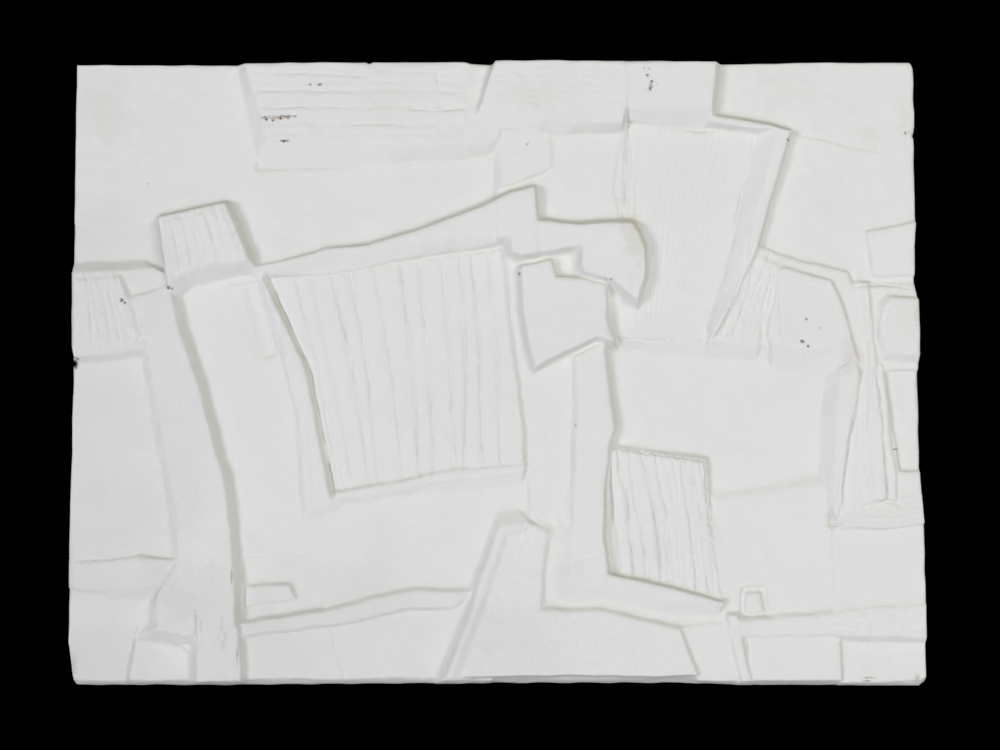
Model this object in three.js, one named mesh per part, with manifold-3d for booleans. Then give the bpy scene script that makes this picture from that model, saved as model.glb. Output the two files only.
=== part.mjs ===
// Plaster bas-relief: one cast panel of plain, combed and hatched fields at many heights.
// Millimetres, +Z up, +X to the right, the carved face looks along -Y.
// The origin is the middle of the flat back face, where the panel is fixed to a wall.
import * as THREE from "three";
import { mergeVertices } from "three/addons/utils/BufferGeometryUtils.js";
import Module from "manifold-3d";

// Driving dimensions
const panelWidth = 600;
const panelHeight = 440;
const slabThickness = 24;
const reliefDepth = 16;
const sideDraft = 1.2;
const bottomDraft = 3.4;

// Places are thousandths of the panel's width and height, from its lower left corner.
// Corners below 0 or above 1000 run past the edge and are trimmed by the panel's outline.
// Heights are sixteenths of the relief's depth, above the front of the slab.
const heightUnit = reliefDepth / 16;
const highest = 17;
const rootDepth = 3;
const combFloor = 0.4;

// How far a wall runs out for each millimetre that it falls
const crisp = 0.12;
const steep = 0.5;
const sloped = 1.1;
const gentle = 1.9;
const shallow = 3.2;

const wasm = await Module();
wasm.setup();

// A solid from a list of coordinates and the corners of its outward triangles
function solidFromTriangles(positions, triangles) {
  const geometry = new THREE.BufferGeometry();
  geometry.setAttribute("position", new THREE.Float32BufferAttribute(positions, 3));
  geometry.setIndex(triangles);
  const merged = mergeVertices(geometry, 1e-4);
  return new wasm.Manifold(new wasm.Mesh({
    numProp: 3,
    vertProperties: new Float32Array(merged.attributes.position.array),
    triVerts: new Uint32Array(merged.index.array),
  }));
}

// A closed mesh from stacked rings of points, each ring [x, height, z], first ring at the back.
// Both lids share the triangles of the ring that holds the drawn corners.
function solidFromRings(rings, lidRing) {
  const count = rings[0].length;
  const positions = rings.flat().flatMap(([x, height, z]) => [x, -slabThickness - height, z]);
  const triangles = [];
  for (let level = 0; level + 1 < rings.length; level += 1) {
    for (let i = 0; i < count; i += 1) {
      const j = (i + 1) % count;
      const back = level * count;
      const front = back + count;
      triangles.push(back + i, back + j, front + j, back + i, front + j, front + i);
    }
  }
  const lastStart = (rings.length - 1) * count;
  const contour = lidRing.map(([x, , z]) => new THREE.Vector2(x, z));
  THREE.ShapeUtils.triangulateShape(contour, []).forEach(([a, b, c]) => {
    triangles.push(a, c, b, lastStart + a, lastStart + b, lastStart + c);
  });
  return solidFromTriangles(positions, triangles);
}

// The outline's corners in millimetres, anticlockwise, each with the lean of the wall after it
function outlineOf(corners, lean) {
  const outline = corners.map(([x, z, wallLean]) => ({
    x: (x / 1000 - 0.5) * panelWidth,
    z: (z / 1000 - 0.5) * panelHeight,
    lean: wallLean ?? lean,
  }));
  const area = THREE.ShapeUtils.area(outline.map(({ x, z }) => ({ x, y: z })));
  if (area > 0) return outline;
  const leans = outline.map((corner) => corner.lean);
  const turned = outline.reverse();
  return turned.map((corner, i) => ({ ...corner, lean: leans.at(-2 - i) }));
}

// Where a corner lies once both its walls have run out over the given fall
function spreadCorner(outline, i, fall) {
  const here = outline[i];
  const before = outline.at(i - 1);
  const after = outline[(i + 1) % outline.length];
  const outward = (from, to) => new THREE.Vector2(to.z - from.z, from.x - to.x).normalize();
  const first = outward(before, here);
  const second = outward(here, after);
  const firstRun = before.lean * fall;
  const secondRun = here.lean * fall;
  const turn = first.cross(second);
  if (Math.abs(turn) < 0.35) {
    const middle = first.clone().add(second).normalize();
    const run = (firstRun + secondRun) / 2;
    return [here.x + middle.x * run, here.z + middle.y * run];
  }
  const shiftX = (firstRun * second.y - secondRun * first.y) / turn;
  const shiftZ = (secondRun * first.x - firstRun * second.x) / turn;
  return [here.x + shiftX, here.z + shiftZ];
}

// The height of a tilted face at a corner, in millimetres above the slab
function faceHeight(outline, corner, { level, riseX = 0, riseZ = 0 }) {
  const shareOf = (axis) => {
    const values = outline.map((each) => each[axis]);
    const low = Math.min(...values);
    return (corner[axis] - low) / (Math.max(...values) - low);
  };
  return (level + riseX * shareOf("x") + riseZ * shareOf("z")) * heightUnit;
}

// A block with leaning walls and a flat or tilted front face
function blockOf({ corners, lean = crisp, back = -rootDepth, ...face }) {
  const outline = outlineOf(corners, lean);
  const front = outline.map((corner) => [corner.x, faceHeight(outline, corner, face), corner.z]);
  const foot = outline.map((corner, i) => {
    const [x, z] = spreadCorner(outline, i, front[i][1] - back);
    return [x, back, z];
  });
  return solidFromRings([foot, front], front);
}

// The room above a sunk face, with walls that lean outwards as they rise
function roomOf({ corners, lean = crisp, ...face }) {
  const outline = outlineOf(corners, lean);
  const top = (highest + rootDepth) * heightUnit;
  const floor = outline.map((corner) => [corner.x, faceHeight(outline, corner, face), corner.z]);
  const mouth = outline.map((corner, i) => {
    const [x, z] = spreadCorner(outline, i, top - floor[i][1]);
    return [x, top, z];
  });
  return solidFromRings([floor, mouth], floor);
}

// One rounded strip between two lines of points [x, z, height] that run from head to foot
const stripShares = [0, 0.14, 0.5, 0.88, 1];
const stripCrown = [0, 0.8, 1, 0.75, 0];
const stripLap = 0.8;

function stripOf(left, right, crown) {
  const toPoint = ([x, z, height]) => new THREE.Vector3(
    (x / 1000 - 0.5) * panelWidth,
    height * heightUnit,
    (z / 1000 - 0.5) * panelHeight,
  );
  const sections = left.map((start, i) => {
    const from = toPoint(start);
    const to = toPoint(right[i]);
    const top = stripShares.map((share, k) => {
      const point = from.clone().lerp(to, share);
      return [point.x, point.y + stripCrown[k] * crown * heightUnit, point.z];
    });
    return [[from.x - stripLap, -rootDepth, from.z], ...top, [to.x + stripLap, -rootDepth, to.z]];
  });
  const count = sections[0].length;
  const positions = sections.flat().flatMap(([x, height, z]) => [x, -slabThickness - height, z]);
  const triangles = [];
  for (let s = 0; s + 1 < sections.length; s += 1) {
    for (let i = 0; i < count; i += 1) {
      const j = (i + 1) % count;
      const upper = s * count;
      const lower = upper + count;
      triangles.push(upper + i, lower + j, upper + j, upper + i, lower + i, lower + j);
    }
  }
  const last = (sections.length - 1) * count;
  for (let i = 1; i + 1 < count; i += 1) {
    triangles.push(0, i, i + 1, last, last + i + 1, last + i);
  }
  return solidFromTriangles(positions, triangles);
}

const mix = (from, to, share) => from + (to - from) * share;

// A line of stations between its head and its foot, bowed sideways, at the height of the field
function combLine(head, foot, bow, heightAt) {
  const stations = [0, 0.35, 0.7, 1];
  return stations.map((share) => {
    const x = mix(head[0], foot[0], share) + bow * 4 * share * (1 - share);
    const z = mix(head[1], foot[1], share);
    return [x, z, heightAt(x, z)];
  });
}

// A field combed into strips that lie between neighbouring lines, cut to the field's outline
function combedField({ corners, lines, crown }) {
  const room = blockOf({ corners, lean: 0, level: highest, back: -rootDepth - 1 });
  return lines.slice(1).reduce(
    (field, line, i) => field.add(stripOf(lines[i], line, crown).intersect(room)),
    blockOf({ corners, lean: 0, level: combFloor }),
  );
}

// Lines spread evenly from a first one to a last one, as a comb leaves them
function evenLines({ count, heads, feet, bow = 0, heightAt }) {
  return Array.from({ length: count + 1 }, (_, i) => {
    const share = i / count;
    const head = [mix(heads[0][0], heads[1][0], share), mix(heads[0][1], heads[1][1], share)];
    const foot = [mix(feet[0][0], feet[1][0], share), mix(feet[0][1], feet[1][1], share)];
    return combLine(head, foot, bow, heightAt);
  });
}

let relief;

function raise(face) {
  relief = relief.add(blockOf(face));
}

function sink(face) {
  relief = relief.subtract(roomOf(face));
}

function comb({ corners, lines, crown, lean }) {
  relief = relief.subtract(roomOf({ corners, lean, level: combFloor }));
  relief = relief.add(combedField({ corners, lines, crown }));
}

// The worn outline of the whole panel: lower edge, right edge, upper edge, left edge
const panelOutline = [
  [8, 4, bottomDraft], [150, 3, bottomDraft], [430, 5, bottomDraft], [735, 4, bottomDraft],
  [994, 3, bottomDraft], [1000, 10], [1000, 250], [997, 340], [997, 500], [998, 530], [998, 618],
  [995, 640], [995, 700], [998, 740], [998, 872], [997.4, 885], [999, 900], [999, 996],
  [995, 1003], [870, 1003], [763, 1000], [650, 1001], [500, 1002], [496, 999], [470, 999],
  [465, 1001], [355, 1001], [350, 998], [345, 1001], [190, 1000], [0, 1001], [0, 740],
  [1, 605], [2, 526], [4.5, 515], [2.5, 505], [2, 350], [1, 290], [1, 40]];

function makeOutline() {
  const thickness = slabThickness + highest * heightUnit;
  const corners = panelOutline.map(([x, z, draft]) => [x, z, (draft ?? sideDraft) / thickness]);
  return blockOf({ corners, level: highest, back: -slabThickness });
}

function makeSlab(outline) {
  const allOfIt = [[-20, -20], [1020, -20], [1020, 1030], [-20, 1030]];
  return outline.intersect(blockOf({ corners: allOfIt, lean: 0, level: 0, back: -slabThickness - 1 }));
}

function carveUpperLeft() {
  raise({ level: 4, corners: [
    [-9, 741], [60, 741], [100, 748], [180, 773], [213, 787], [215, 850], [214, 900], [210, 950],
    [198, 1015], [-9, 1015]] });
  raise({ level: 3, corners: [[-9, 640], [110, 640], [100, 748], [60, 742], [-9, 742]] });
  raise({ level: 2.4, corners: [[205, 800], [510, 800], [510, 890], [205, 890]] });
  raise({ level: 3.8, corners: [
    [180, 640], [500, 690], [494, 770], [494, 845, steep], [480, 846, steep], [400, 838, steep],
    [300, 830, steep], [213, 826], [213, 787], [180, 773], [208, 680]] });
}

function carveLayeredBlock() {
  const blockLevel = 9.8;
  raise({ level: blockLevel, corners: [
    [228, 877, 2.5], [310, 868, 1.9], [400, 865, 1.3], [490, 869, 0.9], [500, 878, 0.9], [503, 892],
    [463, 903], [465, 1015], [198, 1015, 1], [205, 985, 1.2], [213, 945, 1.5], [222, 915, 1.8]] });
  const layerEdges = [872, 890, 898, 910, 926, 936, 951, 962, 986, 1015];
  const layerRises = [0.3, 0.6, 0.4, 0.8, 0.45, 0.75, 0.3, 0.6, 0.4];
  layerRises.forEach((rise, i) => {
    const left = 232 - (layerEdges[i] - 877) * 0.26;
    const right = i % 3 === 1 ? 430 : 463;
    raise({ level: blockLevel + rise, back: (blockLevel - 1) * heightUnit, lean: steep, corners: [
      [left, layerEdges[i]], [right, layerEdges[i] - 4],
      [right, layerEdges[i + 1] - 4], [left - 3, layerEdges[i + 1]]] });
  });
}

function carveTopMiddle() {
  raise({ level: 5, corners: [[495, 770], [680, 700], [680, 910], [600, 905], [503, 905], [503, 800]] });
  raise({ level: 10.2, riseX: -5, corners: [[462, 903], [480, 918], [504, 1015], [462, 1015]] });
  raise({ level: 9.6, corners: [[462, 902], [503, 892], [540, 893], [530, 925], [478, 932]] });
  raise({ level: 13.2, corners: [
    [480, 930, 3], [505, 926, 2.4], [530, 915, 1.8], [560, 905, 0.9], [600, 900, 0.9], [650, 902],
    [656, 930], [657, 975], [650, 1015], [503, 1015]] });
  raise({ level: 12.6, corners: [
    [657, 925, 1.4], [757, 925, steep], [763, 1015], [650, 1015], [657, 975]] });
  raise({ level: 6, corners: [[566, 905], [566, 826], [550, 795], [553, 745], [645, 745],
    [645, 770], [639, 790], [643, 830], [650, 890], [650, 905]] });
  raise({ level: 7.6, corners: [
    [507, 799, steep], [540, 815, steep], [563, 828, 1.6], [562, 888, steep], [520, 893, steep],
    [506, 890, 1.4]] });
}

function carveLongRidge() {
  raise({ level: 6.4, riseX: 5.4, corners: [
    [212, 664, 2.3], [250, 672, 2.3], [300, 691, 2.2], [350, 698, 2], [405, 705, 1.8],
    [450, 718, 1.6], [503, 724], [500, 777, 0.4], [450, 748, 0.4], [400, 722, 0.4],
    [350, 705, 0.4], [300, 697, 0.4], [250, 678, 0.4], [212, 668]] });
  raise({ level: 12.6, riseX: 1, corners: [
    [503, 706, steep], [528, 686, steep], [550, 690], [550, 742], [546, 795, 0.4], [520, 788, 0.4],
    [500, 777, steep]] });
}

function carveBladeAndSquare() {
  raise({ level: 5.5, corners: [[545, 640], [645, 600], [640, 700], [560, 700]] });
  raise({ level: 11.6, riseX: 0.8, corners: [
    [548, 507, steep], [580, 533, steep], [620, 553, steep], [640, 547], [632, 600], [628, 637],
    [600, 648], [572, 650], [565, 680], [528, 668, steep], [532, 600, steep], [540, 540, steep]] });
  raise({ level: 12.8, riseX: 2.8, corners: [
    [545, 689, steep], [603, 701, steep], [602, 665, steep], [605, 657, steep], [635, 645, steep],
    [665, 613, 0.3], [668, 630, 0.3], [673, 650, 0.3], [673, 700, 0.3], [668, 720, 0.45],
    [660, 735, 0.45], [600, 734, 0.45], [550, 741]] });
}

function carveLeftColumn() {
  raise({ level: 9, riseX: 0.6, corners: [
    [-9, 523, sloped], [40, 530, sloped], [90, 537], [62, 615], [50, 660, 1.3], [-9, 658]] });
  raise({ level: 6, riseZ: 3, corners: [
    [50, 610], [112, 622], [120, 650], [100, 665, 1.3], [48, 660]] });
  raise({ level: 12, riseX: 0.8, corners: [
    [115, 637, sloped], [132, 657, sloped], [170, 675, sloped], [208, 680, steep], [180, 773],
    [100, 748]] });
  raise({ level: 4.6, corners: [
    [-9, 185], [140, 185], [140, 205], [115, 375], [95, 520], [80, 525], [-9, 525]] });
  raise({ level: 5, riseX: 2.8, corners: [
    [-9, 158, steep], [15, 155, 1.6], [50, 152, 2.2], [80, 156, 2.2], [97, 160], [110, 150], [134, 198],
    [100, 203], [85, 208], [50, 200], [-9, 195]] });
  raise({ level: 2.6, corners: [[-9, -9], [69, -9, steep], [69, 8, steep], [79, 92], [98, 100],
    [98, 160], [-9, 160]] });
  raise({ level: 0.6, corners: [[70, -9], [153, -9], [153, 90], [79, 90]] });
  raise({ level: 2.5, corners: [
    [115, 80], [210, -9], [490, -9], [560, 240], [575, 360], [545, 400], [500, 700], [180, 665],
    [115, 640]] });
  raise({ level: 9, corners: [
    [88, 540, 1.5], [93, 520, 1.5], [115, 370, 1.5], [127, 280, 1.5], [131, 200], [106, 150, sloped],
    [104, 118, sloped], [107, 100, sloped], [103, 92, 1.2], [162, 79, 1.2], [198, 84, steep],
    [198, 105, 0.7], [191, 200, 0.8], [190, 250, 0.8], [180, 325, 0.8], [168, 390, 0.8],
    [155, 450, 0.8], [145, 500, 0.8], [125, 580, 0.8], [114, 637], [62, 615]] });
  raise({ level: 8, riseZ: 1, corners: [
    [153, 8, steep], [203, 8, 0.5], [199, 78], [199, 110], [153, 110, 1]] });
}

// Upright hatching on the two blocks at the left edge and slanted strokes right of the fine ribs
function hatch({ heads, feet, count, width, level, rise, fill = 0.55 }) {
  for (let i = 0; i < count; i += 1) {
    const share = (i + 0.5) / count;
    const uneven = 1 + 0.25 * Math.sin(i * 2.4);
    const headX = mix(heads[0][0], heads[1][0], share);
    const headZ = mix(heads[0][1], heads[1][1], share);
    const footX = mix(feet[0][0], feet[1][0], share);
    const footZ = mix(feet[0][1], feet[1][1], share);
    const half = (width * fill * uneven) / 2;
    raise({ level: level + rise * uneven, back: (level - 1) * heightUnit, lean: sloped, corners: [
      [footX - half, footZ], [footX + half, footZ], [headX + half, headZ], [headX - half, headZ]] });
  }
}

function carveHatching() {
  hatch({ count: 7, width: 12, level: 9.3, rise: 0.9,
    heads: [[3, 646], [56, 648]], feet: [[2, 548], [82, 556]] });
  hatch({ count: 6, width: 14, level: 12.3, rise: 0.8,
    heads: [[106, 738], [184, 760]], feet: [[118, 660], [200, 690]] });
  hatch({ count: 6, width: 12, level: 7, rise: 1,
    heads: [[792, 690], [836, 668]], feet: [[760, 560], [812, 548]] });
}

function carveMiddle() {
  sink({ level: 1.3, lean: steep, corners: [
    [228, 522], [250, 530], [248, 600], [232, 636], [206, 636, shallow], [215, 590, shallow]] });
  raise({ level: 5.6, corners: [
    [280, 276, gentle], [312, 292, gentle], [345, 330], [320, 420], [290, 520], [262, 600], [238, 665],
    [222, 660, 1.5], [238, 600, 1.5], [252, 520, 1.5], [262, 470, 1.5], [271, 420, 1.5],
    [276, 300, 1.5]] });
}

// The broad ribs: each strip lies a little higher than the one on its left
const broadCorners = [
  [310, 303], [400, 326], [450, 342], [532, 352], [533, 400], [527, 480], [519, 550], [511, 625],
  [506, 700], [430, 684], [375, 673], [300, 655], [230, 650], [252, 590], [279, 505], [290, 435],
  [300, 370]];
const broadHeads = [222, 262, 279, 305, 327, 356, 386, 408, 436, 457, 471, 490, 512];
const broadFeet = [303, 316, 331, 349, 362, 391, 408, 425, 450, 462, 483, 505, 534];

function carveBroadRibs() {
  const headZ = 655;
  const footZ = 350;
  const reach = 60;
  const heightAt = (x, z) => 0.7 + 4.2 * (Math.max(x - 250, 0) / 280) + 0.9 * ((660 - z) / 350);
  const lines = broadHeads.map((headX, i) => {
    const slant = (broadFeet[i] - headX) / (headZ - footZ);
    const head = [headX - slant * reach, headZ + reach];
    const foot = [broadFeet[i] + slant * reach, footZ - reach];
    return combLine(head, foot, i === 0 ? 2 : 4, heightAt);
  });
  comb({ corners: broadCorners, lines, crown: 1, lean: 0.6 });
  raise({ level: 6, riseX: 1.2, corners: [
    [310, 300, gentle], [350, 306, gentle], [430, 324, gentle], [532, 340], [534, 350, 0.7],
    [450, 340, 0.7], [400, 326, 0.7], [312, 306]] });
}

function carveLowerMiddle() {
  raise({ level: 5, corners: [
    [541, 268, steep], [566, 273, steep], [577, 256], [580, 235], [600, 520], [565, 700],
    [506, 700], [511, 625], [519, 550], [527, 480], [534, 400], [536, 345, gentle]] });
  raise({ level: 5.8, corners: [
    [200, 80, 0.8], [310, 98, 0.8], [400, 125, 0.8], [450, 127, 0.8], [470, 149, 0.8], [400, 150, 0.8],
    [350, 136, 0.8], [300, 116, 0.8], [200, 98]] });
  sink({ level: 1.3, lean: steep, corners: [
    [202, 104], [297, 122], [292, 160], [281, 204], [250, 206], [202, 202]] });
  raise({ level: 2.6, riseZ: 2, lean: steep, corners: [
    [207, 127], [264, 137], [257, 161], [209, 158]] });
  raise({ level: 3.2, corners: [
    [205, 11, steep], [460, 14, steep], [470, 122], [400, 112], [300, 92], [196, 76]] });
  raise({ level: 8, riseZ: -2, corners: [
    [447, 16], [733, 16, steep], [713, 90, 0.7], [670, 103, 0.7], [620, 118, 0.7], [550, 118, 1],
    [553, 180, 1], [557, 222, 1.5], [559, 240, gentle], [553, 247, gentle], [540, 249, gentle],
    [510, 244]] });
  raise({ level: 11.2, riseZ: -3.4, corners: [
    [441, 16, 1.2], [446, 16, gentle], [469, 100, gentle], [485, 150, gentle], [499, 200, gentle],
    [510, 243, gentle], [541, 257, 0.6], [538, 260, gentle], [510, 254, gentle], [504, 250, 0.9],
    [470, 115, 0.9]] });
  raise({ level: 3.6, corners: [[548, 100], [768, 75], [765, 132], [640, 200], [560, 240]] });
  raise({ level: 8, corners: [
    [586, 160, 2.5], [640, 156, 2.4], [704, 136, gentle], [764, 130], [766, 136],
    [632, 178, steep], [624, 240, steep], [629, 300, steep], [630, 378, steep], [637, 410, steep],
    [632, 450, steep], [628, 545], [594, 525, sloped], [596, 400, 1.4], [593, 320, 2],
    [588, 230, 2.4], [586, 200, 2.4]] });
}

function carveLowerRight() {
  raise({ level: 5, corners: [[733, 6, steep], [778, 8, steep], [779, 100], [712, 92]] });
  raise({ level: 7, corners: [[784, 8, steep], [794, 8, steep], [780, 112, steep], [769, 112, steep]] });
  raise({ level: 5, corners: [[794, 8, steep], [901, 8, steep], [897, 90], [794, 90]] });
  raise({ level: 2.5, corners: [[900, -9], [1009, -9], [1009, 90], [897, 90]] });
  raise({ level: 6.5, corners: [
    [770, 79, sloped], [880, 80, sloped], [1009, 74], [1009, 127, sloped], [880, 112, sloped],
    [820, 103, sloped], [770, 102]] });
  raise({ level: 5.4, corners: [[893, 105], [1009, 110], [1009, 250], [893, 250, sloped]] });
  raise({ level: 1.2, corners: [[626, 290], [900, 290], [900, 530], [626, 545]] });
  raise({ level: 3, riseX: 1.4, corners: [
    [750, 100], [893, 100], [886, 316, 2.4], [850, 310, 2.4], [800, 300, 2.4], [752, 294]] });
  sink({ level: 1.6, lean: steep, corners: [[784, 112], [818, 110], [814, 154], [787, 153]] });
  raise({ level: 4, riseX: 0.8, lean: steep, corners: [
    [791, 118], [801, 116], [811, 117], [807, 145], [792, 144]] });
}

function carveSmallRibs() {
  const corners = [
    [630, 180], [700, 156], [763, 135], [755, 200], [746, 290], [743, 354], [634, 376], [628, 300]];
  const heightAt = (x, z) => 0.8 + 2.4 * ((x - 630) / 130) + 3.4 * ((z - 150) / 220);
  raise({ level: 1.6, riseX: 2.4, riseZ: 3.2, corners, lean: 0.8 });
  const lines = evenLines({
    count: 8, heads: [[628, 400], [748, 400]], feet: [[646, 130], [772, 130]], bow: 3, heightAt });
  comb({ corners, lines, crown: 1.1, lean: crisp });
}

function carveUpperRight() {
  raise({ level: 4, corners: [
    [750, 900], [812, 700], [840, 676], [917, 655], [920, 635], [1009, 630], [1009, 1015], [763, 1015]] });
  raise({ level: 6.2, lean: steep, corners: [[947, 652], [1009, 655], [1009, 744, crisp], [941, 725]] });
  sink({ level: 3.1, lean: steep, corners: [[857, 885], [960, 855], [960, 857], [857, 887]] });
}

function carveFineRibs() {
  const corners = [
    [650, 556], [670, 548], [748, 546], [760, 580], [790, 730], [814, 890], [740, 889], [700, 897],
    [655, 905]];
  raise({ level: 5.6, corners: [[645, 552, gentle], [752, 544, gentle], [760, 620], [645, 620]] });
  const lines = evenLines({
    count: 19, bow: -2, heightAt: () => 4.6,
    heads: [[658, 910], [812, 910]], feet: [[648, 540], [754, 540]] });
  comb({ corners, lines, crown: 0.7, lean: crisp });
  raise({ level: 10.4, corners: [
    [757, 556, steep], [776, 600, crisp], [810, 702, crisp], [850, 887, steep], [800, 905, steep],
    [757, 914, 0.8], [757, 903, steep], [834, 889, 2], [803, 725, 2], [771, 600, 2]] });
  raise({ level: 7, corners: [
    [750, 544, gentle], [812, 541], [832, 655], [812, 700], [780, 640], [757, 580]] });
}

function carveRightCluster() {
  raise({ level: 6.4, corners: [
    [806, 541, gentle], [900, 537, gentle], [908, 490, 1], [904, 400, 1], [903, 245], [940, 245],
    [950, 520], [940, 640], [920, 640, 0.4], [915, 658, 0.5], [870, 672, 0.5], [835, 687, 0.5],
    [812, 700, 0.5]] });
  raise({ level: 5, corners: [
    [906, 244, sloped], [1009, 240], [1009, 640], [925, 640], [905, 520, sloped]] });
  raise({ level: 9, corners: [
    [824, 543, 2.4], [908, 538, steep], [925, 522, 0.35], [914, 580, 0.35], [904, 620, 0.35],
    [896, 642, 0.5], [870, 652, 0.5], [842, 664, steep], [832, 664, 0.7], [827, 610, 0.7],
    [820, 560, 0.7]] });
  sink({ level: 8.2, lean: steep, corners: [
    [842, 545], [905, 540], [900, 590], [890, 634], [868, 642], [842, 650]] });
  raise({ level: 8, corners: [
    [898, 262, crisp], [904, 290, crisp], [908, 340, crisp], [914, 395, crisp], [924, 450, crisp],
    [929, 486, crisp], [924, 521], [908, 505, 1.5], [900, 440, 1.5], [896, 330, 1.5]] });
  raise({ level: 8, corners: [
    [930, 284, steep], [957, 293, crisp], [954, 400, crisp], [948, 505, steep], [940, 640, steep],
    [933, 640, 1.5], [942, 520, 1.5], [936, 420, 1.5], [933, 340, 1.5]] });
  raise({ level: 6.6, lean: steep, corners: [
    [950, 290], [967, 292], [968, 340], [962, 400], [956, 505], [948, 520]] });
  sink({ level: 2.6, lean: steep, corners: [
    [974, 340], [1012, 340], [1012, 498], [959, 498], [967, 410]] });
  raise({ level: 9.6, corners: [
    [960, 528, 1.4], [1009, 524, steep], [1009, 613, 0.7], [966, 615, 1.2], [959, 600, 1.2],
    [956, 565, 1.2], [957, 540, 1.4]] });
  raise({ level: 6.4, lean: steep, corners: [
    [925, 626], [1009, 618], [1009, 630], [985, 635], [922, 637]] });
}

// Low curved layers fanned out below the cluster
function carveFan() {
  const layers = 5;
  for (let i = 0; i < layers; i += 1) {
    const base = 248 + i * 10;
    const bulge = 10 - i;
    raise({ level: 7.6 - i * 0.5, back: 4 * heightUnit, lean: steep, corners: [
      [905 + i * 3, base], [950, base - 2], [1009, base + bulge], [1009, base + bulge + 7],
      [950, base + 6], [905 + i * 3, base + 8]] });
  }
}

function makeRelief() {
  const outline = makeOutline();
  relief = makeSlab(outline);
  carveUpperLeft();
  carveTopMiddle();
  carveLeftColumn();
  carveMiddle();
  carveLowerMiddle();
  carveLowerRight();
  carveUpperRight();
  carveRightCluster();
  carveFan();
  carveLongRidge();
  carveBroadRibs();
  carveSmallRibs();
  carveFineRibs();
  carveBladeAndSquare();
  carveLayeredBlock();
  carveHatching();
  return relief.intersect(outline);
}

function meshOf(solid, name, material) {
  const { vertProperties, triVerts } = solid.getMesh();
  const geometry = new THREE.BufferGeometry();
  geometry.setAttribute("position", new THREE.Float32BufferAttribute(vertProperties, 3));
  geometry.setIndex(new THREE.Uint32BufferAttribute(triVerts, 1));
  geometry.computeVertexNormals();
  const mesh = new THREE.Mesh(geometry, material);
  mesh.name = name;
  return mesh;
}

const plaster = new THREE.MeshStandardMaterial({ color: 0xe3e2dd, roughness: 0.9, metalness: 0 });

const panel = new THREE.Group();
panel.name = "plaster_bas_relief";
panel.add(meshOf(makeRelief(), "relief_panel", plaster));

export default panel;
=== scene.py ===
import math

import bpy
import numpy as np
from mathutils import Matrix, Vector, geometry
from mathutils.bvhtree import BVHTree


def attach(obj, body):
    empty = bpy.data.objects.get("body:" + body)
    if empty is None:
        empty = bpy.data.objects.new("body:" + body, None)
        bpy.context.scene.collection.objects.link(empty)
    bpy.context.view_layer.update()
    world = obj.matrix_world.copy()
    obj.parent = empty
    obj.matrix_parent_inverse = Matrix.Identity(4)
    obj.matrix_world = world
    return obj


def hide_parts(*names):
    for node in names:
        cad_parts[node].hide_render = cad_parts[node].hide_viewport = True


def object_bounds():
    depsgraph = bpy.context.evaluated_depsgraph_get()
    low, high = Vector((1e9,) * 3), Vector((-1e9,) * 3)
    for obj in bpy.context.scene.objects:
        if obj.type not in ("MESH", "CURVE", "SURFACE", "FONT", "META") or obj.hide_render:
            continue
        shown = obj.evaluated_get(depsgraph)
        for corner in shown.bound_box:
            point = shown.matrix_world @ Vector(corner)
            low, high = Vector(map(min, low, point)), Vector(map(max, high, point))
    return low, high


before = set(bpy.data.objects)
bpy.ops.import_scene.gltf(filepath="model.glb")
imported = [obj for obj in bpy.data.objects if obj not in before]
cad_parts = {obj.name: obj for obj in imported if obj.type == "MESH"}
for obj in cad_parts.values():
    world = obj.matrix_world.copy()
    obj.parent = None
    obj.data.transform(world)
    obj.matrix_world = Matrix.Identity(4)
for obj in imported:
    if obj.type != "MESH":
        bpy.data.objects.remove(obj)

cadBounds = [list(corner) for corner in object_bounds()]

# Metres. Places on the panel are thousandths of its width and height, from its lower left corner.
panel = {"width": 0.600, "height": 0.440, "slab": 0.024}

relief = {
    "columns": 900,
    "rows": 660,
    "finishedFaces": 190000,
    "handWobble": 0.0009,      # how far hand-cut edges wander
    "wobbleSize": 0.030,
    "edgeSoftness": 0.00045,
    "filletReach": 0.0020,     # plaster left in the foot of each wall
    "filletStart": 0.0007,
    "cornerWear": 0.0032,
    "rimWear": 0.0016,
    "footWear": 0.0042,
    "footDrop": 0.0066,
    "footLip": 0.0018,         # how far the lower edge bulges at its right end
    "skinRoom": 0.0011,        # kept free under the highest face for waves and strokes
    "backWaves": 0.0004,
    "sideBands": 0.0004,
    "backCornerWear": 0.0007,
}


def placeX(share):
    return (share / 1000 - 0.5) * panel["width"]


def placeZ(share):
    return (share / 1000 - 0.5) * panel["height"]


# Smooth random heights from -1 to 1, with bumps of the given size
def softNoise(x, z, size, seed):
    table = np.random.default_rng(seed).uniform(-1, 1, (128, 128))
    u = x / size + 40.3
    v = z / size + 40.7
    i = np.floor(u).astype(int)
    j = np.floor(v).astype(int)
    fu = u - i
    fv = v - j
    fu = fu * fu * (3 - 2 * fu)
    fv = fv * fv * (3 - 2 * fv)
    low = table[i % 128, j % 128] * (1 - fu) + table[(i + 1) % 128, j % 128] * fu
    high = table[i % 128, (j + 1) % 128] * (1 - fu) + table[(i + 1) % 128, (j + 1) % 128] * fu
    return low * (1 - fv) + high * fv


def smoothStep(low, high, value):
    share = np.clip((value - low) / (high - low), 0, 1)
    return share * share * (3 - 2 * share)


# A field of heights on the grid, smoothed over the given reach in metres
def blurred(field, reach):
    cells = reach * relief["columns"] / panel["width"]
    radius = max(1, math.ceil(2.5 * cells))
    weights = np.exp(-0.5 * (np.arange(-radius, radius + 1) / cells) ** 2)
    weights /= weights.sum()
    for axis in (0, 1):
        pad = [(radius, radius) if axis == a else (0, 0) for a in (0, 1)]
        padded = np.pad(field, pad, mode="edge")
        length = field.shape[axis]
        field = sum(
            weight * (padded[k:k + length] if axis == 0 else padded[:, k:k + length])
            for k, weight in enumerate(weights)
        )
    return field


# The cast solid, read by rays

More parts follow.
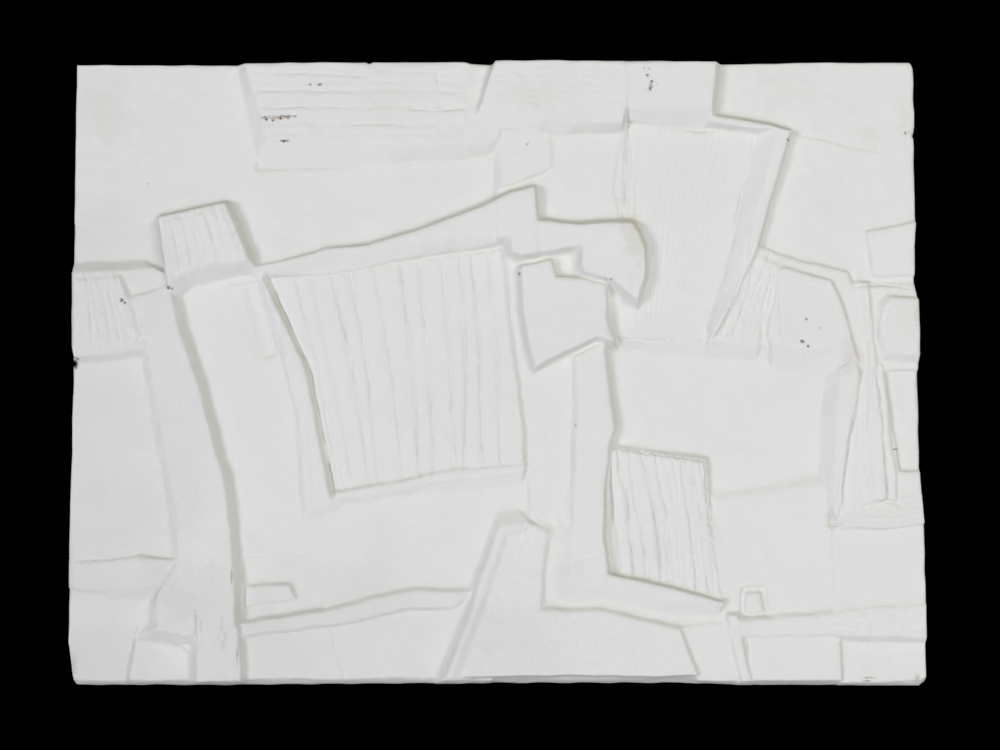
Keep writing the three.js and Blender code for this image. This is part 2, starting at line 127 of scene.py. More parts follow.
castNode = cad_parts["relief_panel"]
castTree = BVHTree.FromObject(castNode, bpy.context.evaluated_depsgraph_get())


def hitAlong(start, direction, axis):
    place = castTree.ray_cast(Vector(start), Vector(direction))[0]
    return place[axis] if place else math.nan


def filledIn(values):
    good = ~np.isnan(values)
    index = np.arange(len(values))
    return np.interp(index, index[good], values[good])


# Where the panel's four sides lie at one depth
def sideLines(depth, xs, zs):
    far = 1.0
    return {
        "left": filledIn(np.array([hitAlong((-far, -depth, z), (1, 0, 0), 0) for z in zs])),
        "right": filledIn(np.array([hitAlong((far, -depth, z), (-1, 0, 0), 0) for z in zs])),
        "bottom": filledIn(np.array([hitAlong((x, -depth, -far), (0, 0, 1), 2) for x in xs])),
        "top": filledIn(np.array([hitAlong((x, -depth, far), (0, 0, -1), 2) for x in xs])),
    }


def makeGrid():
    columns, rows = relief["columns"], relief["rows"]
    xs = np.linspace(placeX(1), placeX(999), columns)
    zs = np.linspace(placeZ(6), placeZ(1000), rows)
    front = sideLines(panel["slab"] - 0.0005, xs, zs)
    castBottom = front["bottom"]
    front["bottom"] = castBottom - relief["footLip"] * smoothStep(0.130, 0.175, xs)
    back = sideLines(0.001, xs, zs)
    u, v = np.meshgrid(np.linspace(0, 1, columns), np.linspace(0, 1, rows))
    x = front["left"][:, None] * (1 - u) + front["right"][:, None] * u
    bottom = np.interp(x, xs, front["bottom"])
    top = np.interp(x, xs, front["top"])
    z = bottom * (1 - v) + top * v
    return {"x": x, "z": z, "u": u, "v": v, "xs": xs, "zs": zs, "front": front, "back": back,
            "castBottom": np.interp(x, xs, castBottom)}


def castHeights(grid):
    inset = 0.0007
    x = np.clip(grid["x"], grid["x"][:, :1] + inset, grid["x"][:, -1:] - inset)
    z = np.clip(grid["z"], grid["castBottom"] + inset, grid["z"][-1:] - inset)
    rimDistance = np.minimum.reduce([
        grid["u"] * panel["width"], (1 - grid["u"]) * panel["width"],
        grid["v"] * panel["height"], (1 - grid["v"]) * panel["height"]])
    size = relief["wobbleSize"]
    reach = relief["handWobble"] * smoothStep(0.001, 0.008, rimDistance)
    x = x + reach * (softNoise(x, z, size, 1) + 0.5 * softNoise(x, z, size * 0.35, 2))
    z = z + reach * (softNoise(x, z, size, 3) + 0.5 * softNoise(x, z, size * 0.35, 4))
    toWall = Vector((0, 1, 0))
    cast = castTree.ray_cast
    hits = [cast(Vector((px, -1, pz)), toWall)[0] for px, pz in zip(x.ravel(), z.ravel())]
    depths = filledIn(np.array([-hit[1] if hit else math.nan for hit in hits]))
    return depths.reshape(x.shape) - panel["slab"], rimDistance


# Fields of tool strokes: their four corners, how many strokes lie across, how long they run
# in stroke widths, and how deep they cut in metres. The first two corners are the heads.
strokeFields = [
    {"name": "broadRibs", "corners": [(228, 652), (508, 700), (534, 350), (306, 300)],
     "count": 20, "length": 2.0, "depth": 0.00024},
    {"name": "fineComb", "corners": [(656, 904), (814, 888), (750, 548), (652, 556)],
     "count": 19, "length": 1.6, "depth": 0.00022},
    {"name": "smallRibs", "corners": [(634, 376), (743, 354), (763, 136), (632, 180)],
     "count": 11, "length": 2.2, "depth": 0.00045},
    {"name": "leftHatch", "corners": [(0, 658), (52, 660), (88, 540), (0, 533)],
     "count": 8, "length": 3.4, "depth": 0.00066},
    {"name": "upperHatch", "corners": [(101, 748), (180, 772), (207, 682), (117, 642)],
     "count": 8, "length": 3.0, "depth": 0.00062},
    {"name": "slantStrokes", "corners": [(800, 700), (838, 685), (818, 540), (754, 550)],
     "count": 7, "length": 1.8, "depth": 0.00045},
    {"name": "roughStrip", "corners": [(62, 615), (125, 600), (195, 130), (120, 150)],
     "count": 9, "length": 30.0, "depth": 0.00022},
    {"name": "crackedFoot", "corners": [(105, 150), (198, 150), (203, 10), (150, 10)],
     "count": 6, "length": 8.0, "depth": 0.00030},
    {"name": "curvedLip", "corners": [(222, 655), (240, 655), (308, 300), (282, 275)],
     "count": 4, "length": 4.0, "depth": 0.00036},
    {"name": "streaks", "corners": [(535, 500), (588, 505), (578, 235), (545, 262)],
     "count": 6, "length": 2.0, "depth": 0.00028},
    {"name": "cluster", "corners": [(925, 625), (952, 625), (972, 295), (900, 262)],
     "count": 6, "length": 2.6, "depth": 0.00050},
    {"name": "layers", "corners": [(462, 872), (464, 1003), (205, 1003), (230, 876)],
     "count": 9, "length": 3.0, "depth": 0.00036},
    {"name": "roughBand", "corners": [(1000, 76), (1000, 128), (820, 104), (770, 80)],
     "count": 3, "length": 7.0, "depth": 0.00060},
    {"name": "fibres", "corners": [(530, 262), (566, 262), (556, 200), (515, 205)],
     "count": 6, "length": 3.0, "depth": 0.00050},
    {"name": "blockTop", "corners": [(652, 915), (652, 1005), (495, 1005), (500, 930)],
     "count": 7, "length": 4.0, "depth": 0.00028},
    {"name": "wedgeFace", "corners": [(450, 30), (545, 255), (560, 120), (730, 25)],
     "count": 7, "length": 7.0, "depth": 0.00038},
    {"name": "middlePlain", "corners": [(245, 260), (500, 262), (450, 155), (310, 130)],
     "count": 6, "length": 9.0, "depth": 0.00018},
    {"name": "wideCheek", "corners": [(508, 795), (508, 890), (566, 885), (566, 830)],
     "count": 6, "length": 4.0, "depth": 0.00022},
]


# Where the plaster was left rough: four corners and strength
roughPatches = [
    ([(62, 615), (125, 600), (205, 10), (110, 10)], 1.0),
    ([(205, 1003), (464, 1003), (462, 875), (228, 880)], 0.7),
    ([(500, 1003), (650, 1003), (650, 905), (495, 930)], 0.8),
    ([(452, 20), (730, 20), (712, 100), (490, 130)], 1.0),
    ([(480, 120), (552, 120), (566, 266), (512, 262)], 1.0),
    ([(300, 290), (530, 330), (500, 160), (300, 130)], 0.5),
    ([(200, 200), (300, 290), (480, 150), (300, 130)], 0.4),
    ([(770, 130), (1000, 130), (1000, 70), (780, 76)], 0.9),
    ([(900, 90), (1000, 90), (1000, 5), (905, 5)], 0.6),
    ([(955, 640), (1000, 640), (1000, 520), (955, 520)], 0.8),
    ([(815, 660), (925, 640), (925, 300), (895, 540)], 0.6),
    ([(470, 640), (512, 640), (532, 350), (450, 345)], 0.6),
    ([(0, 660), (210, 770), (210, 660), (0, 530)], 0.5),
    ([(757, 1000), (1000, 1000), (1000, 640), (815, 700)], 0.15),
]


def roughness(grid):
    rough = np.full(grid["x"].shape, 0.25)
    for corners, strength in roughPatches:
        s, t = fieldShares(grid, corners)
        inside = smoothStep(-0.05, 0.1, np.minimum.reduce([s, 1 - s, t, 1 - t]))
        rough = np.maximum(rough, inside * strength)
    return rough


# Across and along a four-cornered field: 0 to 1 from one side to the other and from head to foot
def fieldShares(grid, corners):
    headLeft, headRight, footRight, footLeft = [(placeX(a), placeZ(b)) for a, b in corners]
    across = np.full(grid["x"].shape, 0.5)
    along = np.full(grid["x"].shape, 0.5)
    for _ in range(6):
        leftX = headLeft[0] + (footLeft[0] - headLeft[0]) * along
        leftZ = headLeft[1] + (footLeft[1] - headLeft[1]) * along
        rightX = headRight[0] + (footRight[0] - headRight[0]) * along
        rightZ = headRight[1] + (footRight[1] - headRight[1]) * along
        spanX, spanZ = rightX - leftX, rightZ - leftZ
        across = ((grid["x"] - leftX) * spanX + (grid["z"] - leftZ) * spanZ) / (spanX ** 2 + spanZ ** 2)
        topX = headLeft[0] + (headRight[0] - headLeft[0]) * across
        topZ = headLeft[1] + (headRight[1] - headLeft[1]) * across
        fallX = footLeft[0] + (footRight[0] - footLeft[0]) * across - topX
        fallZ = footLeft[1] + (footRight[1] - footLeft[1]) * across - topZ
        along = ((grid["x"] - topX) * fallX + (grid["z"] - topZ) * fallZ) / (fallX ** 2 + fallZ ** 2)
        across = np.clip(across, -3, 4)
        along = np.clip(along, -3, 4)
    return across, along


def strokeMaps(grid):
    across = np.zeros(grid["x"].shape)
    along = np.zeros(grid["x"].shape)
    depth = np.zeros(grid["x"].shape)
    for number, field in enumerate(strokeFields):
        s, t = fieldShares(grid, field["corners"])
        soft = 0.02
        inside = (smoothStep(-soft, soft, s) * smoothStep(-soft, soft, 1 - s)
                  * smoothStep(-soft, soft, t) * smoothStep(-soft, soft, 1 - t))
        here = inside * field["depth"] > depth
        across[here] = (s * field["count"] + number * 50)[here]
        along[here] = (t * field["length"])[here]
        depth = np.maximum(depth, inside * field["depth"])
    return across, along, depth


# Lines cut or left by hand: points, half width and depth in metres
cutLines = [
    {"points": [(50, 955), (56, 925), (66, 880), (76, 840), (92, 752)], "width": 0.0009, "depth": 0.00035},
    {"points": [(857, 887), (905, 874), (960, 857)], "width": 0.0006, "depth": 0.0004},
    {"points": [(180, 655), (195, 600), (222, 518)], "width": 0.0011, "depth": 0.0004},
    {"points": [(202, 648), (214, 600), (240, 540)], "width": 0.0008, "depth": 0.0003},
    {"points": [(307, 90), (313, 55), (325, 15)], "width": 0.0009, "depth": 0.0007},
    {"points": [(151, 123), (152, 100), (151, 78)], "width": 0.0006, "depth": 0.0012},
    {"points": [(158, 108), (157, 90), (160, 72)], "width": 0.0005, "depth": 0.0008},
    {"points": [(183, 112), (182, 92), (186, 84), (184, 60)], "width": 0.0006, "depth": 0.0012},
    {"points": [(168, 212), (170, 196), (165, 188), (168, 175)], "width": 0.0006, "depth": 0.0008},
    {"points": [(170, 70), (178, 78), (190, 66)], "width": 0.0006, "depth": 0.0008},
    {"points": [(437, 15), (462, 110), (502, 262)], "width": 0.0006, "depth": 0.0005},
    {"points": [(752, 295), (758, 262), (766, 228)], "width": 0.0007, "depth": 0.0005},
    {"points": [(255, 520), (264, 470), (274, 420), (278, 300)], "width": 0.0008, "depth": 0.0005},
    {"points": [(270, 470), (280, 420), (285, 300)], "width": 0.0006, "depth": 0.0003},
    {"points": [(517, 862), (524, 855), (534, 856), (540, 862), (536, 868)],
     "width": 0.0005, "depth": 0.0004},
    {"points": [(840, 650), (868, 642), (893, 633)], "width": 0.0009, "depth": 0.0005},
    {"points": [(826, 652), (817, 600), (811, 525)], "width": 0.0014, "depth": 0.0014},
    {"points": [(904, 335), (900, 290), (897, 258)], "width": 0.0008, "depth": 0.0006},
    {"points": [(660, 905), (663, 850), (668, 742)], "width": 0.0008, "depth": 0.0005},
    {"points": [(0, 203), (40, 200), (85, 204), (124, 205)], "width": 0.0008, "depth": 0.0004},
    {"points": [(300, 288), (350, 294), (400, 306), (430, 318), (530, 333)],
     "width": 0.0009, "depth": 0.00035},
    {"points": [(508, 890), (540, 893), (566, 886)], "width": 0.0007, "depth": 0.0004},
    {"points": [(430, 990), (433, 955), (463, 944)], "width": 0.0006, "depth": 0.0005},
    {"points": [(229, 657), (240, 620), (250, 590), (259, 560), (270, 530), (281, 500), (286, 465),
                (290, 438), (295, 408), (300, 375), (304, 345), (307, 308)],
     "width": 0.0010, "depth": 0.0020},
    {"points": [(930, 500), (926, 465), (922, 430), (914, 395), (910, 350), (906, 310)],
     "width": 0.0009, "depth": 0.0017},
    {"points": [(946, 505), (951, 455), (949, 430)], "width": 0.0008, "depth": 0.0008},
    {"points": [(955, 385), (958, 335), (958, 300)], "width": 0.0009, "depth": 0.0012},
    {"points": [(933, 430), (933, 350), (930, 300)], "width": 0.0007, "depth": 0.0008},
    {"points": [(928, 282), (943, 289), (958, 292), (968, 288), (975, 281)],
     "width": 0.0009, "depth": 0.0012},
    {"points": [(961, 602), (956, 575), (957, 552)], "width": 0.0009, "depth": 0.0014},
    {"points": [(799, 850), (785, 740), (766, 640), (749, 568)], "width": 0.0017, "depth": 0.0010},
    {"points": [(798, 710), (786, 640), (773, 590), (766, 557)], "width": 0.0008, "depth": 0.0009},
    {"points": [(808, 692), (798, 630), (786, 580), (779, 556)], "width": 0.0007, "depth": 0.0008},
    {"points": [(824, 688), (806, 625), (792, 580), (786, 556)], "width": 0.0009, "depth": 0.0011},
    {"points": [(833, 668), (827, 610), (822, 540)], "width": 0.0008, "depth": 0.0008},
    {"points": [(838, 650), (835, 600), (836, 560)], "width": 0.0007, "depth": 0.0007},
    {"points": [(922, 636), (960, 638), (999, 630)], "width": 0.0008, "depth": 0.0012},
    {"points": [(231, 926), (280, 930), (331, 926)], "width": 0.0006, "depth": 0.0008},
    {"points": [(331, 899), (365, 901), (402, 896)], "width": 0.0006, "depth": 0.0007},
    {"points": [(398, 925), (430, 921), (463, 926)], "width": 0.0009, "depth": 0.0014},
    {"points": [(238, 984), (290, 983), (346, 977)], "width": 0.0007, "depth": 0.0009},
    {"points": [(221, 955), (262, 957), (302, 953)], "width": 0.0006, "depth": 0.0008},
    {"points": [(656, 928), (658, 870), (653, 790), (656, 738)], "width": 0.0008, "depth": 0.0009},
    {"points": [(586, 255), (586, 380), (590, 520)], "width": 0.0007, "depth": 0.0006},
]


# Grooves between ribs run from their heads to their feet and bow a little to the right
ribGrooves = [
    {"heads": [262, 279, 305, 327, 356, 386, 408, 436, 457, 471, 490],
     "feet": [316, 331, 349, 362, 391, 408, 425, 450, 462, 483, 505],
     "headZ": (652, 690), "footZ": (310, 350), "bow": 4, "wander": 1.6, "width": 0.0006, "depth": 0.0009},
    {"heads": [642, 656, 671, 685, 699, 713, 727],
     "feet": [660, 675, 690, 704, 718, 732, 745],
     "headZ": (372, 358), "footZ": (172, 148), "bow": 3, "wander": 3.2, "width": 0.0008, "depth": 0.0014},
]


def grooveLines(grooves):
    stations = np.linspace(0, 1, 15)
    count = len(grooves["heads"])
    lines = []
    for i, (head, foot) in enumerate(zip(grooves["heads"], grooves["feet"])):
        share = i / (count - 1)
        headZ = grooves["headZ"][0] + (grooves["headZ"][1] - grooves["headZ"][0]) * share
        footZ = grooves["footZ"][0] + (grooves["footZ"][1] - grooves["footZ"][0]) * share
        wander = grooves["wander"] * softNoise(stations * 0.9, np.full(15, i * 1.7), 0.22, 31)
        x = head + (foot - head) * stations + grooves["bow"] * 4 * stations * (1 - stations) + wander
        z = headZ + (footZ - headZ) * stations
        strength = 0.45 + 0.55 * abs(math.sin(i * 2.1 + 0.7))
        lines.append({"points": list(zip(x, z)), "width": grooves["width"],
                      "depth": grooves["depth"] * strength})
    return lines


def cutInto(heights, grid, line):
    points = [(placeX(a), placeZ(b)) for a, b in line["points"]]
    margin = 4 * line["width"] + 0.001
    columns = np.nonzero((grid["x"].max(0) > min(p[0] for p in points) - margin)
                         & (grid["x"].min(0) < max(p[0] for p in points) + margin))[0]
    rows = np.nonzero((grid["z"].max(1) > min(p[1] for p in points) - margin)
                      & (grid["z"].min(1) < max(p[1] for p in points) + margin))[0]
    window = (slice(rows[0], rows[-1] + 1), slice(columns[0], columns[-1] + 1))
    z = grid["z"][window]
    x = grid["x"][window] + 0.0005 * softNoise(grid["x"][window], z, 0.006, 11)
    nearest = np.full(x.shape, 1.0)
    for (ax, az), (bx, bz) in zip(points, points[1:]):
        lengthSquared = (bx - ax) ** 2 + (bz - az) ** 2
        share = np.clip(((x - ax) * (bx - ax) + (z - az) * (bz - az)) / lengthSquared, 0, 1)
        nearest = np.minimum(nearest, np.hypot(x - ax - share * (bx - ax), z - az - share * (bz - az)))
    uneven = 1 + 0.4 * softNoise(x, z, 0.008, 12)
    heights[window] -= line["depth"] * uneven * np.exp(-(nearest / line["width"]) ** 2)


# Single holes: place, radius and depth in metres
holes = [
    (87, 806, 0.0008, 0.0010), (60, 615, 0.0016, 0.0030), (64, 611, 0.0009, 0.0018),
    (114, 635, 0.0014, 0.0030), (119, 633, 0.0009, 0.0020), (528, 657, 0.0010, 0.0022),
    (635, 646, 0.0009, 0.0014), (629, 647, 0.0007, 0.0010), (538, 868, 0.0008, 0.0018),
    (847, 874, 0.0014, 0.0030), (866, 582, 0.0011, 0.0022), (881, 568, 0.0010, 0.0020),
    (861, 547, 0.0014, 0.0026), (867, 539, 0.0010, 0.0022), (988, 887, 0.0011, 0.0020),
    (593, 412, 0.0007, 0.0012), (280, 965, 0.0010, 0.0018), (291, 964, 0.0009, 0.0016),
    (683, 988, 0.0008, 0.0016), (680, 978, 0.0011, 0.0022), (685, 968, 0.0009, 0.0018),
    (683, 957, 0.0015, 0.0026), (692, 962, 0.0008, 0.0014), (676, 990, 0.0007, 0.0014),
    (228, 908, 0.0012, 0.0024), (236, 907, 0.0011, 0.0022), (245, 910, 0.0011, 0.0024),
    (254, 911, 0.0010, 0.0020), (262, 913, 0.0008, 0.0016), (249, 873, 0.0009, 0.0018),
    (254, 873, 0.0008, 0.0014), (5, 514, 0.0020, 0.0025), (8, 521, 0.0012, 0.0018),
    (4, 507, 0.0013, 0.0018), (993, 888, 0.0010, 0.0010), (998, 881, 0.0012, 0.0015),
]


# Distance from a hole's middle in radii, bent so that its outline is uneven
def holeReach(grid, hole):
    a, b, radius, _ = hole
    away = np.hypot(grid["x"] - placeX(a), (grid["z"] - placeZ(b)) * 1.1) / radius
    return away * (1 + 0.45 * softNoise(grid["x"], grid["z"], 0.0013, 13))


def holeInto(heights, grid, hole):
    return heights - hole[3] * smoothStep(1.0, 0.35, holeReach(grid, hole))


# Places where sharp corners of the solid are smoothed: middle, half width and half height in metres
wornPlaces = [
    (640, 586, 0.0085, 0.0190), (559, 264, 0.0140, 0.0060),
    (844, 597, 0.0080, 0.0320), (874, 544, 0.0240, 0.0060),
]


def wornDown(heights, grid):
    soft = blurred(heights, relief["cornerWear"])
    for a, b, halfWidth, halfHeight in wornPlaces:
        away = np.hypot((grid["x"] - placeX(a)) / halfWidth, (grid["z"] - placeZ(b)) / halfHeight)
        heights = heights + (soft - heights) * smoothStep(1.0, 0.5, away)
    return heights


def carveHeights(grid):
    heights, rimDistance = castHeights(grid)
    soft = blurred(heights, relief["edgeSoftness"])
    wide = blurred(heights, relief["filletReach"])
    heights = wornDown(np.maximum(soft, wide - relief["filletStart"]), grid)
    for line in cutLines + sum((grooveLines(grooves) for grooves in ribGrooves), []):
        cutInto(heights, grid, line)
    for hole in holes:
        heights = holeInto(heights, grid, hole)
    return wornRim(heights, grid, rimDistance), rimDistance


def wornRim(heights, grid, rimDistance):
    uneven = 1 + 0.6 * softNoise(grid["x"], grid["z"], 0.012, 14)
    wear = relief["rimWear"] * uneven
    inward = np.clip(wear - rimDistance, 0, None)
    heights = heights - (wear - np.sqrt(np.clip(wear ** 2 - inward ** 2, 0, None)))
    # the lower edge is worn back to a slope
    reach = relief["footWear"] * (1 + 0.3 * softNoise(grid["x"], 0 * grid["z"], 0.034, 15)
                                  + 0.12 * softNoise(grid["x"], grid["z"], 0.005, 16))
    worn = np.clip(1 - grid["v"] * panel["height"] / reach, 0, None)
    heights = heights - relief["footDrop"] * worn ** 1.2
    highest = -cadBounds[0][1] - panel["slab"] - relief["skinRoom"]
    return np.minimum(heights, highest)


# From heights to a closed mesh: the front grid, its sides down to the wall and the back

def rimOrder(columns, rows):
    bottom = [(0, c) for c in range(columns)]
    right = [(r, columns - 1) for r in range(1, rows)]
    top = [(rows - 1, c) for c in range(columns - 2, -1, -1)]
    left = [(r, 0) for r in range(rows - 2, 0, -1)]
    return bottom + right + top + left


def sideRows(grid, heights, rim):
    columns, rows = relief["columns"], relief["rows"]
    slab = panel["slab"]
    shares = [0.04, 0.12, 0.28, 0.46, 0.64, 0.80, 0.92, 0.98, 1.0]
    rings = []
    for share in shares:
        ring = []
        for r, c in rim:
            y = -(slab + heights[r, c]) * (1 - share)
            blend = min(-y / slab, 1.15)
            x, z = grid["x"][r, c], grid["z"][r, c]
            bands = 1 + math.sin(x * 210 + z * 170 + share * 9)
            backCorner = relief["backCornerWear"] * max(0, share - 0.93) / 0.07
            worn = relief["sideBands"] * bands + backCorner
            if c in (0, columns - 1):
                side = "left" if c == 0 else "right"
                inward = 1 if c == 0 else -1
                frontX, backX = grid["front"][side][r], grid["back"][side][r]
                x = backX + (frontX - backX) * blend + inward * worn
            if r in (0, rows - 1):
                side = "bottom" if r == 0 else "top"
                inward = 1 if r == 0 else -1
                place = grid["x"][r, c]
                frontZ = np.interp(place, grid["xs"], grid["front"][side])
                backZ = np.interp(place, grid["xs"], grid["back"][side])
                z = backZ + (frontZ - backZ) * blend + inward * worn
            ring.append((x, y, z))
        rings.append(ring)
    return rings


def closedPanel(grid, heights):
    columns, rows = relief["columns"], relief["rows"]
    front = np.stack([grid["x"], -(panel["slab"] + heights), grid["z"]], -1).reshape(-1, 3)
    index = np.arange(rows * columns).reshape(rows, columns)
    quads = np.stack([index[:-1, :-1], index[:-1, 1:], index[1:, 1:], index[1:, :-1]], -1).reshape(-1, 4)
    rim = rimOrder(columns, rows)
    rings = sideRows(grid, heights, rim)
    count = len(rim)
    faces = quads.tolist()
    previous = [int(index[r, c]) for r, c in rim]
    vertices = front.tolist()
    for ring in rings:
        start = len(vertices)
        vertices += ring
        current = list(range(start, start + count))
        for i in range(count):
            j = (i + 1) % count
            faces.append([previous[i], current[i], current[j], previous[j]])
        previous = current
    # the back: the last ring filled over a coarse scatter of points
    ring = rings[-1]
    step = 0.008
    inner = [
        (x, z)
        for x in np.arange(ring[0][0] + step, -ring[0][0] - step * 0.9, step)
        for z in np.arange(ring[0][2] + step, -ring[0][2] - step * 0.9, step)
    ]
    flat = [Vector((x, z)) for x, _, z in ring] + [Vector(place) for place in inner]
    edges = [(i, (i + 1) % count) for i in range(count)]
    filled = geometry.delaunay_2d_cdt(flat, edges, [], 1, 1e-7)
    places, triangles, sources = filled[0], filled[2], filled[3]
    names = []
    for place, source in zip(places, sources):
        if source and source[0] < count:
            names.append(previous[source[0]])
            continue
        wave = 0.5 + 0.5 * float(softNoise(np.array(place[0]), np.array(place[1]), 0.045, 21))
        names.append(len(vertices))
        vertices.append((place[0], -relief["backWaves"] * wave, place[1]))
    for a, b, c in triangles:
        faces.append([names[a], names[c], names[b]])
    mesh = bpy.data.meshes.new("plasterCast")
    mesh.from_pydata([tuple(v) for v in vertices], [], faces)
    mesh.update()
    return mesh


# Node trees

def newTree(name, kind, inputs, outputs):
    tree = bpy.data.node_groups.new(name, kind)
    for label, socketType, value in inputs:
        socket = tree.interface.new_socket(label, in_out="INPUT", socket_type=socketType)
        if value is not None:
            socket.default_value = value
    for label, socketType in outputs:
        tree.interface.new_socket(label, in_out="OUTPUT", socket_type=socketType)
    return tree, tree.nodes.new("NodeGroupInput"), tree.nodes.new("NodeGroupOutput")


def addNode(tree, kind, settings=None, sockets=None):
    node = tree.nodes.new(kind)
    for name, value in (settings or {}).items():
        setattr(node, name, value)
    for key, value in (sockets or {}).items():
        if isinstance(value, bpy.types.NodeSocket):
            tree.links.new(value, node.inputs[key])
        else:
            node.inputs[key].default_value = value
    return node


def maths(tree, operation, first, second=None, third=None):
    sockets = {0: first}
    if second is not None:
        sockets[1] = second
    if third is not None:
        sockets[2] = third
    return addNode(tree, "ShaderNodeMath", {"operation": operation}, sockets).outputs[0]


plasterSkin = {
    "Wave Height": 0.00170,
    "Wave Size": 0.050,
    "Ripple Height": 0.00120,
    "Ripple Size": 0.013,
    "Dent Height": 0.00075,
    "Dent Size": 0.0055,
    "Stroke Wander": 0.55,
    "Bubble Density": 260.0,
    "Bubble Radius": 0.0008,
    "Bubble Depth": 0.0008,
    "Seed": 7,
}


# Trowel waves, tool strokes and air bubbles, laid over the carved heights
def makeSkinTree(material):
    size, count = "NodeSocketFloat", "NodeSocketInt"
    tree, start, end = newTree("plasterSkin", "GeometryNodeTree", [
        ("Geometry", "NodeSocketGeometry", None),
        ("Wave Height", size, None), ("Wave Size", size, None),
        ("Ripple Height", size, None), ("Ripple Size", size, None),
        ("Dent Height", size, None), ("Dent Size", size, None), ("Stroke Wander", size, None),
        ("Bubble Density", size, None), ("Bubble Radius", size, None), ("Bubble Depth", size, None),
        ("Seed", count, None), ("Material", "NodeSocketMaterial", None),
    ], [("Geometry", "NodeSocketGeometry")])
    asked = start.outputs

    def attribute(name, kind="FLOAT"):
        node = addNode(tree, "GeometryNodeInputNamedAttribute", {"data_type": kind}, {"Name": name})
        return node.outputs["Attribute"]

    def noiseOf(vector, scale, detail, roughness=0.5):
        node = addNode(tree, "ShaderNodeTexNoise", {"noise_dimensions": "3D"}, {
            "Vector": vector, "Scale": scale, "Detail": detail, "Roughness": roughness})
        return maths(tree, "SUBTRACT", node.outputs["Fac"], 0.5)

    position = addNode(tree, "GeometryNodeInputPosition").outputs[0]
    waveScale = maths(tree, "DIVIDE", 1.0, asked["Wave Size"])
    rippleScale = maths(tree, "DIVIDE", 1.0, asked["Ripple Size"])
    wave = maths(tree, "MULTIPLY", noiseOf(position, waveScale, 2.0), asked["Wave Height"])
    ripple = maths(tree, "MULTIPLY", noiseOf(position, rippleScale, 3.0), asked["Ripple Height"])
    dentScale = maths(tree, "DIVIDE", 1.0, asked["Dent Size"])
    dent = maths(tree, "MULTIPLY", noiseOf(position, dentScale, 5.0, 0.62), asked["Dent Height"])
    dent = maths(tree, "MULTIPLY", dent, attribute("rough"))
    plain = maths(tree, "MULTIPLY", maths(tree, "ADD", maths(tree, "ADD", wave, ripple), dent), 2.0)

    # strokes: a comb wave that wanders, broken up by stretched noise
    strokes = attribute("strokes", "FLOAT_VECTOR")
    split = addNode(tree, "ShaderNodeSeparateXYZ", sockets={0: strokes})
    wander = noiseOf(strokes, 0.35, 2.0)
    turn = maths(tree, "MULTIPLY_ADD", wander, asked["Stroke Wander"], split.outputs["X"])
    comb = maths(tree, "SINE", maths(tree, "MULTIPLY", turn, 2 * math.pi))
    torn = maths(tree, "MULTIPLY", noiseOf(strokes, 1.9, 4.0, 0.65), 4.0)
    stroke = maths(tree, "ADD", maths(tree, "MULTIPLY", comb, 0.35), torn)
    stroke = maths(tree, "MULTIPLY", stroke, attribute("strokeDepth"))

    # bubbles: round pits at scattered points, each with a size of its own
    face = attribute("face")
    chosen = addNode(tree, "FunctionNodeCompare", {"operation": "GREATER_THAN"}, {0: face, 1: 0.9})
    scattered = addNode(tree, "GeometryNodeDistributePointsOnFaces", {"distribute_method": "RANDOM"}, {
        "Mesh": asked["Geometry"], "Density": asked["Bubble Density"], "Seed": asked["Seed"],
        "Selection": chosen.outputs[0]})
    share = addNode(tree, "FunctionNodeRandomValue", {"data_type": "FLOAT"}, {
        "Min": 0.35, "Max": 1.0, "Seed": asked["Seed"]}).outputs["Value"]
    near = addNode(tree, "GeometryNodeProximity", {"target_element": "POINTS"},
                   {0: scattered.outputs["Points"]})
    nearest = addNode(tree, "GeometryNodeSampleNearest", {"domain": "POINT"},
                      {0: scattered.outputs["Points"]})
    sampled = addNode(tree, "GeometryNodeSampleIndex", {"data_type": "FLOAT", "domain": "POINT"}, {
        "Geometry": scattered.outputs["Points"], "Value": share, "Index": nearest.outputs["Index"]})
    radius = maths(tree, "MULTIPLY", sampled.outputs[0], asked["Bubble Radius"])
    fall = addNode(tree, "ShaderNodeMapRange", {"interpolation_type": "SMOOTHSTEP"}, {
        "Value": maths(tree, "DIVIDE", near.outputs["Distance"], radius),
        "From Min": 0.4, "From Max": 1.1, "To Min": 1.0, "To Max": 0.0})
    depth = maths(tree, "MULTIPLY", sampled.outputs[0], asked["Bubble Depth"])
    pit = maths(tree, "MULTIPLY", fall.outputs[0], depth)

    rise = maths(tree, "SUBTRACT", maths(tree, "ADD", plain, stroke), pit)
    rise = maths(tree, "MULTIPLY", rise, face)
    offset = addNode(tree, "ShaderNodeCombineXYZ", sockets={"Y": maths(tree, "MULTIPLY", rise, -1.0)})
    moved = addNode(tree, "GeometryNodeSetPosition", sockets={
        "Geometry": asked["Geometry"], "Offset": offset.outputs[0]})
    real = addNode(tree, "GeometryNodeRealizeInstances", sockets={"Geometry": moved.outputs[0]})
    finished = addNode(tree, "GeometryNodeSetMaterial", sockets={
        "Geometry": real.outputs[0], "Material": asked["Material"]})
    tree.links.new(finished.outputs[0], end.inputs["Geometry"])
    return tree


def setInputs(modifier, values):
    for item in modifier.node_group.interface.items_tree:
        if item.item_type == "SOCKET" and item.in_out == "INPUT" and item.name in values:
            modifier[item.identifier] = values[item.name]


def plainMesh(source):
    depsgraph = bpy.context.evaluated_depsgraph_get()
    return bpy.data.meshes.new_from_object(source.evaluated_get(depsgraph), preserve_all_data_layers=True,
                                           depsgraph=depsgraph)


